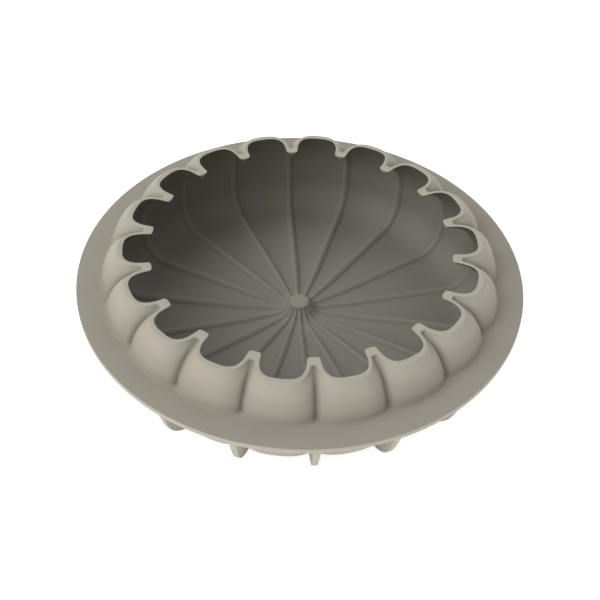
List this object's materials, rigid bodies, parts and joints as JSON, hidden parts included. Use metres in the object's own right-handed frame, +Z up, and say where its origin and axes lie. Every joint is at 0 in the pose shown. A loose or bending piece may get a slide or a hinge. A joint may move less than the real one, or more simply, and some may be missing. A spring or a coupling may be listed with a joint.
{
  "type": "cake mould",
  "caption": "Round fluted cake mould of flexible silicone rubber, with petal-shaped walls, inward rim tabs, a flat brim and support fins under it.",
  "frame": {"origin": "centre of the circle that the fins' feet stand on, on the surface that the mould rests on", "axes": "+Z up along the mould's axis, out of the cavity; +X along a ridge, its rim tab and the fin under it"},
  "size_m": [0.22, 0.22, 0.053],
  "materials": {
    "silicone": "smooth matt to satin moulded silicone, warm grey, slightly dusty"
  },
  "bodies": {
    "root": {"cavity_floor": "silicone", "lower_wall": "silicone", "upper_wall": "silicone", "rim_flange": "silicone", "centre_boss": "silicone", "support_fin_01": "silicone", "support_fin_02": "silicone", "support_fin_03": "silicone", "support_fin_04": "silicone", "support_fin_05": "silicone", "support_fin_06": "silicone", "support_fin_07": "silicone", "support_fin_08": "silicone", "support_fin_09": "silicone", "support_fin_10": "silicone", "support_fin_11": "silicone", "support_fin_12": "silicone", "support_fin_13": "silicone", "support_fin_14": "silicone", "support_fin_15": "silicone", "support_fin_16": "silicone", "support_fin_17": "silicone", "support_fin_18": "silicone"}
  },
  "joints": []
}
